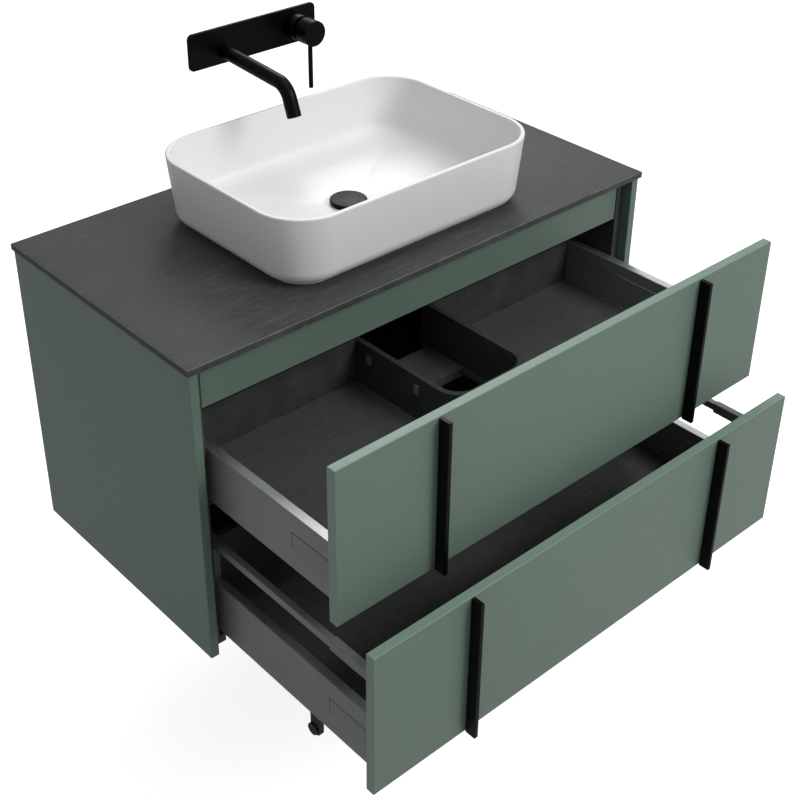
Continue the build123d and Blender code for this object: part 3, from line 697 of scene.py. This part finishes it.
# one closed profile of (inset, height) round the wall, swept round a rounded rectangle that
# turns into a circle towards the waste
def basinGrid(setup):
    low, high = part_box("basin")
    half = np.array((high.x - low.x, high.y - low.y)) / 2
    centre = np.array((high.x + low.x, high.y + low.y)) / 2
    tall = high.z - low.z
    draft, radius = setup["draft"], setup["baseRadius"]
    slope = draft / (tall - setup["footHeight"])
    lean = np.arctan(slope)
    arcHeight = setup["footHeight"] + radius
    arcInset = draft - radius * slope + radius / cos(lean)
    footTurn = np.arcsin((arcInset - setup["footInset"]) / radius)
    turn = np.linspace(footTurn, np.pi / 2 - lean, 14)
    outside = np.column_stack((arcInset - radius * np.sin(turn), arcHeight - radius * np.cos(turn)))
    foot = softLine(((setup["footInset"] + setup["footFlat"], 0), (setup["footInset"], 0), outside[0]),
                    setup["footRound"], 4)
    rim = softLine((outside[-1], (0, tall), (setup["wall"], tall),
                    (setup["wall"] + draft, setup["floorHeight"]),
                    (setup["wall"] + draft + setup["floorRun"], setup["floorHeight"] - setup["floorDip"])),
                   (0, setup["rimRound"], setup["rimRound"], setup["floorRadius"], 0), 12)
    profile = np.concatenate((foot[:-1], outside[:-1], rim))

    side = setup["sidePoints"]
    quarter = np.linspace(0, np.pi / 2, setup["cornerPoints"], endpoint=False)
    sign = np.array(((1, 1), (-1, 1), (-1, -1), (1, -1)))

    def outlineAt(inset):
        corner = max(setup["corner"] - inset, 0.004)
        parts = []
        for i in range(4):
            middle = sign[i] * (half - inset - corner)
            angle = quarter + i * np.pi / 2
            parts.append(middle + corner * np.column_stack((np.cos(angle), np.sin(angle))))
            start = middle + corner * np.array((cos((i + 1) * np.pi / 2), sin((i + 1) * np.pi / 2)))
            end = sign[(i + 1) % 4] * (half - inset - corner)
            end = end + corner * np.array((cos((i + 1) * np.pi / 2), sin((i + 1) * np.pi / 2)))
            s = np.linspace(0, 1, side, endpoint=False)[:, None]
            parts.append(start * (1 - s) + end * s)
        return np.concatenate(parts)

    def ring(radiusAt, like):
        return like / np.linalg.norm(like, axis=1, keepdims=True) * radiusAt

    rows = [(outlineAt(inset), height) for inset, height in profile]
    innerEdge, innerHeight = rows[-1]
    seat = setup["seatHeight"]
    for t in np.linspace(0, 1, 26)[1:]:        # the floor falls to the waste and its outline turns round
        fall = innerHeight + (seat - innerHeight) * (t + 0.10 * np.sin(2 * np.pi * t) / (2 * np.pi))
        rows.append((innerEdge * (1 - t) + ring(setup["seatRadius"], innerEdge) * t, fall))
    throat, edge = setup["holeRadius"], setup["throatEdge"]
    for radiusAt, height in ((throat + setup["seatFlat"], seat), (throat + edge, seat),
                             (throat, seat - edge), (throat, edge), (throat + edge, 0.0)):
        rows.append((ring(radiusAt, innerEdge), height))
    under = rows[0][0]
    for t in (0.3, 0.65):
        rows.append((ring(throat + edge, under) * (1 - t) + under * t, 0.0))
    return np.array([np.column_stack((flat + centre, np.full(len(flat), low.z + height)))
                     for flat, height in rows])


reshape("basin", [basinGrid(bowl)], ends="loop")

wasteCap = {"crown": 0.0062, "edge": 0.0046, "dome": 0.0009, "stem": 0.005}


# a shallow dome with a rounded rim, and its stem below
def wasteCapGrid(setup):
    low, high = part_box("waste_cap")
    radius = (high.x - low.x) / 2
    tall = high.z - low.z
    crown = setup["crown"]
    profile = softLine(((0, tipRadius), (0, setup["stem"]), (tall - crown, setup["stem"]),
                        (tall - crown, radius), (tall - setup["dome"], radius),
                        (tall - setup["dome"] / 3, radius * 0.5), (tall, tipRadius)),
                       (0, 0.0004, 0.0003, 0.0006, setup["edge"], 0.012, 0), 9)
    return lathe(((low.x + high.x) / 2, (low.y + high.y) / 2, low.z), (0, 0, 1), profile, 96)


reshape("waste_cap", [wasteCapGrid(wasteCap)], ends="poles")

print("stage 7: mixer")

mixer = {
    "plateCorner": 0.010, "plateEdge": 0.0013,
    "spoutRadius": 0.0126, "spoutBore": 0.0095, "spoutExitDrop": 0.008, "spoutFall": 0.012,
    "spoutDrop": 0.051, "spoutLean": 0.0195, "spoutBend": 0.034,
    "lip": 0.0009, "lipLead": 0.003, "boreDepth": 0.006,
    "knobEdge": 0.0014, "ball": 0.0189, "pivotReach": 0.036,
    "seam": 0.0007, "seamFar": 0.0016, "seamNear": 0.0011,      # its depth, and its edges from the front
    "leverTip": 0.0036, "groove": (0.0035, 0.0032, 0.0026, 0.0023), "grooveDeep": 0.0005,
}
plateLow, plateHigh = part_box("mixer_plate")
reshape("mixer_plate", [softBox((plateLow, plateHigh), mixer["plateEdge"], 1, mixer["plateCorner"])],
        flatOver=0.004)


# two straight runs joined by a circle's arc that touches both
def bentPath(start, corner, end, radius, steps):
    a = (start - corner) / np.linalg.norm(start - corner)
    b = (end - corner) / np.linalg.norm(end - corner)
    halfAngle = np.arccos(np.dot(a, b)) / 2
    reach = radius / np.tan(halfAngle)
    middle = corner + (a + b) / np.linalg.norm(a + b) * radius / np.sin(halfAngle)
    first, last = corner + a * reach - middle, corner + b * reach - middle
    sweep = np.pi - 2 * halfAngle
    t = np.linspace(0, 1, steps)[:, None]
    arc = middle + (np.sin((1 - t) * sweep) * first + np.sin(t * sweep) * last) / np.sin(sweep)
    runs = np.linspace(0, 1, 10, endpoint=False)[:, None]
    before = start + (arc[0] - start) * runs
    after = arc[-1] + (end - arc[-1]) * (runs[1:] + 0.1)
    return np.concatenate((before, arc, after))


# circles carried square to the path, then a rolled lip and the bore inside it
def spoutGrid(setup):
    low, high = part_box("spout")
    x = (low.x + high.x) / 2
    height = (plateLow.z + plateHigh.z) / 2 - setup["spoutExitDrop"]
    reach = -low.y - setup["spoutRadius"]
    cornerZ = height - setup["spoutFall"]
    start = np.array((x, 0.0, height))
    corner = np.array((x, -reach + setup["spoutLean"], cornerZ))
    end = np.array((x, -reach, cornerZ - setup["spoutDrop"]))
    path = bentPath(start, corner, end, setup["spoutBend"], 26)
    radius, bore = setup["spoutRadius"], setup["spoutBore"]
    down = (end - corner) / np.linalg.norm(end - corner)
    lip = softLine(((-setup["lipLead"], radius), (0, radius), (0, bore), (-setup["boreDepth"], bore)),
                   setup["lip"], 6)[1:]
    centres = np.concatenate((path[:-1], end + lip[:, :1] * down))
    radii = np.concatenate((np.full(len(path) - 1, radius), lip[:, 1]))
    tangent = np.gradient(path, axis=0)[:-1]
    tangent = np.concatenate((tangent, np.repeat(down[None], len(lip), axis=0)))
    tangent = tangent / np.linalg.norm(tangent, axis=1, keepdims=True)
    side = np.array((1.0, 0, 0))
    other = np.cross(tangent, side)
    turn = np.linspace(0, 2 * np.pi, 56, endpoint=False)
    circle = np.cos(turn)[None, :, None] * side + np.sin(turn)[None, :, None] * other[:, None]
    grid = centres[:, None] + radii[:, None, None] * circle
    grid[0, :, 1] = 0.0
    return grid, end, down


spoutRows, outlet, outletDown = spoutGrid(mixer)
reshape("spout", [spoutRows], ends="poles")

aerator = {"ringPitch": 0.0016, "ringWave": 0.00035, "ringTop": 0.0009, "sunk": 0.0015, "deep": 0.0055,
           "play": 0.0002}


# a disc of rings, each a cosine in height, and a flat back
def aeratorGrid(setup, bore):
    radius = np.linspace(tipRadius, bore - tipRadius, 34)
    height = setup["ringTop"] - setup["ringWave"] * (1 + np.cos(radius * 2 * np.pi / setup["ringPitch"]))
    face = np.column_stack((-setup["sunk"] - height, radius))
    back = ((-setup["deep"], bore - setup["play"]), (-setup["deep"], tipRadius))
    return lathe(outlet, outletDown, np.concatenate((face, back)), 56)


reshape("spout_aerator", [aeratorGrid(aerator, mixer["spoutBore"])], ends="poles")

knobX = sum(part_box("mixer_collar")[i].x for i in (0, 1)) / 2
knobZ = sum(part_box("mixer_collar")[i].z for i in (0, 1)) / 2


# a short cylinder with a fine seam cut round it near the front
def collarGrid(setup):
    low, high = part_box("mixer_collar")
    long = high.y - low.y
    radius = (high.x - low.x) / 2
    far, near, seam = long - setup["seamFar"], long - setup["seamNear"], radius - setup["seam"]
    profile = softLine(((0, tipRadius), (0, radius), (far, radius), (far, seam), (near, seam),
                        (near, radius), (long, radius), (long, tipRadius)),
                       (0, 0.0003, 0.0002, 0, 0, 0.0002, 0.0008, 0), 5)
    return lathe((knobX, high.y, knobZ), (0, -1, 0), profile, 96)


# the cap's outside, its rear rim, and the hollow ball socket inside it
def capGrid(setup):
    low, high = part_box("control_cap")
    radius = (high.x - low.x) / 2
    long = high.y - low.y
    ball = setup["ball"]
    pivot = setup["pivotReach"] + low.y          # from the front face back to the ball's centre
    outside = softLine(((0, tipRadius), (0, radius), (long, radius), (long, radius - 0.0024)),
                       (0, setup["knobEdge"], 0.0008, 0), 8)
    opening = np.arccos(min(1.0, (-pivot - long) / ball))
    turn = np.linspace(opening, 0.02, 18)
    inside = np.column_stack((-pivot - ball * np.cos(turn), ball * np.sin(turn)))
    return lathe((knobX, low.y, knobZ), (0, 1, 0), np.concatenate((outside, inside)), 96)


# a rod with a rounded tip and a fine groove where it enters the cap
def leverGrid(setup):
    low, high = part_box("lever_rod")
    radius = (high.x - low.x) / 2
    long = high.z - low.z
    start, floorStart, floorEnd, end = (long - back for back in setup["groove"])
    floor = radius - setup["grooveDeep"]
    profile = softLine(((0, tipRadius), (0, radius), (start, radius), (floorStart, floor),
                        (floorEnd, floor), (end, radius), (long, radius), (long, tipRadius)),
                       (0, setup["leverTip"], 0.0002, 0.0002, 0.0002, 0.0002, 0.0002, 0), 9)
    return lathe(((low.x + high.x) / 2, (low.y + high.y) / 2, low.z), (0, 0, 1), profile, 48)


reshape("mixer_collar", [collarGrid(mixer)], ends="poles")
reshape("control_cap", [capGrid(mixer)], ends="poles")
reshape("lever_rod", [leverGrid(mixer)], ends="poles")

print("stage 8: drawer sides and their covers")

steelSide = {"skin": 0.0015, "width": 0.017, "fold": 0.0016, "coverStand": 0.00035, "coverCorner": 0.0024,
             "shadowStand": 0.00015, "shadowMargin": 0.0013,
             "bandInset": 0.0010, "bandStand": 0.00015, "beadSize": 0.0016, "beadDrop": 0.024,
             "coverInset": 0.003, "coverRearInset": 0.004}


# one folded sheet seen from its end: outer skin, flat top, inner skin and the lip under the floor
def foldedSide(node, setup, toLeft):
    low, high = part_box(node)
    skin, width, top = setup["skin"], setup["width"], high.z
    base = low.z + skin
    outer = low.x if toLeft else high.x
    inward = 1 if toLeft else -1
    lip = high.x if toLeft else low.x
    inner = outer + inward * width
    line = ((base, outer), (top, outer), (top, inner), (base, inner), (base, lip), (low.z, lip),
            (low.z, inner - inward * skin), (top - skin, inner - inward * skin),
            (top - skin, outer + inward * skin), (base, outer + inward * skin))
    reach = (0.0003, setup["fold"], setup["fold"], 0.0008, 0.0003, 0.0003, 0.0012, 0.0008, 0.0008, 0.0003)
    outline = softLine(line, reach, 6, closed=True)
    if not toLeft:
        outline = outline[::-1]
    return bevelledPlate(outline[::-1], low.y, high.y, 0.0002, 1, 3)


# the brushed strip along a side's flat top
def topBand(node, setup, toLeft):
    low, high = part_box(node)
    inset, width = setup["bandInset"], setup["width"]
    near = low.x + inset if toLeft else high.x - width + inset
    return softBox(((near, low.y + 0.0004, high.z - 0.001),
                    (near + width - 2 * inset, high.y - 0.0004, high.z + setup["bandStand"])), 0.00012, 1)


# two thin beads along a side's inner skin: one under the top fold and one where it meets the floor
def innerBeads(level, node, setup, toLeft):
    low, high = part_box(node)
    size = setup["beadSize"]
    inner = low.x + setup["width"] if toLeft else high.x - setup["width"]
    span = (inner - 0.0002, inner + size) if toLeft else (inner - size, inner + 0.0002)
    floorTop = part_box(level + "_floor")[1].z
    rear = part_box("upper_backs" if level == "upper" else "lower_back")[0].y
    return [softBox(((span[0], low.y + 0.0005, z), (span[1], rear, z + size)), size * 0.3, 1)
            for z in (high.z - setup["beadDrop"], floorTop)]


for level in ("upper", "lower"):
    for sideName in ("left", "right"):
        node = level + "_side_" + sideName
        reshape(node, [foldedSide(node, steelSide, sideName == "left")], flatOver=0.003)
        makePiece(node + "_band", [topBand(node, steelSide, sideName == "left")], "grey_steel", bodyOf[node],
                  flatOver=0.003, finish=brushedBand)
        makePiece(node + "_beads", innerBeads(level, node, steelSide, sideName == "left"), "grey_steel",
                  bodyOf[node], flatOver=0.003, finish=brushedBand)


# the cover stands a hair proud of the skin, over a slightly larger black plate that paints the shadow of the
# gap round it
def coverCaps(level, setup):
    node = level + "_cover_caps"
    covers, shadowPlates = [], []
    low, high = solidBoxes(node)[0]
    front, rear = low[1], high[1] - setup["coverRearInset"]
    bottom, top = low[2] + setup["coverInset"], high[2] - setup["coverInset"]
    outer = low[0]
    stand, margin = setup["coverStand"], setup["shadowMargin"]
    covers.append(softBox(((outer - stand, front, bottom), (outer + 0.001, rear, top)), 0.0003, 0,
                          setup["coverCorner"]))
    # the black plate: painted shadow round the cover
    shadowPlates.append(softBox(((outer - setup["shadowStand"], front - margin, bottom - margin / 3),
                         (outer + 0.0008, rear + margin, top + margin)), 0.00005, 0, setup["coverCorner"]))
    reshape(node, mirrored(covers), flatOver=0.003)
    makePiece(level + "_cover_shadow_plates", mirrored(shadowPlates), "rubber", bodyOf[node], flatOver=0.003)


coverCaps("upper", steelSide)
coverCaps("lower", steelSide)

print("stage 9: catch arms, clips and wheels")

catch = {"bevel": 0.0012, "noseSteps": 20, "topRun": 0.006, "topRound": 0.0015, "hub": 0.0022, "tyre": 0.0012}


# a strip with a half-round lower end
def catchArm(box, setup):
    low, high = box
    radius = (high[1] - low[1]) / 2
    turn = np.linspace(np.pi, 2 * np.pi, setup["noseSteps"])
    centre = (low[1] + high[1]) / 2
    nose = np.column_stack((centre + radius * np.cos(turn), low[2] + radius + radius * np.sin(turn)))
    top, shoulder, corner = high[2], high[2] - setup["topRun"], setup["topRound"]
    corners = softLine(((high[1], shoulder), (high[1], top), (low[1], top), (low[1], shoulder)),
                       (0, corner, corner, 0), 4)
    return bevelledPlate(np.concatenate((nose, corners)), low[0], high[0], setup["bevel"], 0)


reshape("lower_locks", [catchArm(box, catch) for box in solidBoxes("lower_locks")], flatOver=0.003)


# a disc with a rolled rim, a dished face and a raised hub
def catchWheel(box, setup, outwards):
    low, high = box
    radius = (high[1] - low[1]) / 2
    wide = high[0] - low[0]
    hub, tyre = setup["hub"], setup["tyre"]
    profile = softLine(((0, tipRadius), (0, radius), (wide, radius), (wide, radius - 2 * tyre),
                        (wide - 0.0008, radius - 2.6 * tyre), (wide - 0.0008, hub * 1.5), (wide, hub),
                        (wide, tipRadius)), (0, 0.0005, tyre, 0.0004, 0.0004, 0.0004, 0.0004, 0), 6)
    face = high[0] if outwards < 0 else low[0]
    return lathe((face, (low[1] + high[1]) / 2, (low[2] + high[2]) / 2), (outwards, 0, 0), profile, 64)


wheels = [catchWheel(box, catch, out) for box, out in zip(solidBoxes("lower_lock_wheels"), (-1, 1))]
reshape("lower_lock_wheels", wheels, ends="poles")

# each clip is a soft block
reshape("recess_clips", [softBox(box, 0.0008, 0, 0.002) for box in solidBoxes("recess_clips", True)],
        flatOver=0.002)

print("stage 10: trap")

trap = {"cupRound": 0.010, "wallThick": 0.003, "ribs": 18, "ribDepth": 0.0016, "nutEdge": 0.0012,
        "wasteNutBore": 0.020,
        "cupNutDrop": 0.032, "pipeNutReach": 0.033}     # from the outlet's height, and from the drain
nutSizes = {
    "top": {"long": 0.028, "radius": 0.026, "bore": 0.020},
    "cup": {"long": 0.012, "radius": 0.031, "bore": 0.029},
    "pipe": {"long": 0.022, "radius": 0.024, "bore": 0.016},
}
pipeLow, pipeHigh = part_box("trap_pipe")
pipeZ = (pipeLow.z + pipeHigh.z) / 2
drainX = 0.0             # the drain is in the middle of the width
drainY = sum(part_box("trap_cup")[i].y for i in (0, 1)) / 2


# a cup turned about the drain: a round-bottomed outside, then the hollow inside it
def cupGrid(setup):
    low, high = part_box("trap_cup")
    radius, tall, thick = (high.x - low.x) / 2, high.z - low.z, setup["wallThick"]
    profile = softLine(((0, tipRadius), (0, radius), (tall, radius), (tall, radius - thick),
                        (thick, radius - thick), (thick, tipRadius)),
                       (0, setup["cupRound"], 0.0006, 0.0006, 0.008, 0), 9)
    return lathe((drainX, drainY, low.z), (0, 0, 1), profile, 80)


# a ring nut: soft edges, a bore and a cosine of ribs round the outside
def nutGrid(start, direction, nut, setup):
    long, radius, bore, edge = nut["long"], nut["radius"], nut["bore"], setup["nutEdge"]
    profile = softLine(((0, bore), (0, radius), (long, radius), (long, bore)), (0, edge, edge, 0), 5)
    return lathe(start, direction, profile, 144, setup["ribs"], setup["ribDepth"])


reshape("trap_cup", [cupGrid(trap)], ends="poles")
nutLow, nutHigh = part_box("waste_nut")
wasteNut = {"long": nutHigh.z - nutLow.z, "radius": (nutHigh.x - nutLow.x) / 2, "bore": trap["wasteNutBore"]}
reshape("waste_nut", [nutGrid((drainX, drainY, nutLow.z), (0, 0, 1), wasteNut, trap)], ends="loop")
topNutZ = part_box("trap_nuts")[1].z
nuts = [nutGrid((drainX, drainY, topNutZ - nutSizes["top"]["long"]), (0, 0, 1), nutSizes["top"], trap),
        nutGrid((drainX, drainY, pipeZ - trap["cupNutDrop"]), (0, 0, 1), nutSizes["cup"], trap),
        nutGrid((drainX, drainY + trap["pipeNutReach"], pipeZ), (0, 1, 0), nutSizes["pipe"], trap)]
reshape("trap_nuts", nuts, ends="loop")


rosette = {"bore": 0.016, "shoulder": 0.019, "bulge": 0.0022, "bulgeFrom": 0.017, "rimRound": 0.0006,
           "shoulderRound": 0.0014}


# a flared ring whose slope is swelled by half a sine wave
def rosetteGrid(setup):
    low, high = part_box("wall_rosette")
    radius, deep = (high.x - low.x) / 2, high.y - low.y
    profile = softLine(((0, setup["bore"]), (0, radius), (deep, setup["shoulder"]), (deep, setup["bore"])),
                       (0, setup["rimRound"], setup["shoulderRound"], 0), 8)
    bulge = setup["bulge"] * np.sin(np.pi * np.clip(profile[:, 0] / deep, 0, 1))
    swelled = profile[:, 1] + bulge * (profile[:, 1] > setup["bulgeFrom"])
    profile[:, 1] = np.minimum(swelled, radius)
    return lathe((0, high.y, pipeZ), (0, -1, 0), profile, 80)


reshape("wall_rosette", [rosetteGrid(rosette)], ends="loop")

print("stage 11: finishes on the carried-over nodes")

for node, slot in slotOf.items():
    mesh = nodes[node].data
    mesh.materials.clear()
    mesh.materials.append(litFloorBoard if node in floorNodes else finishes[slot])
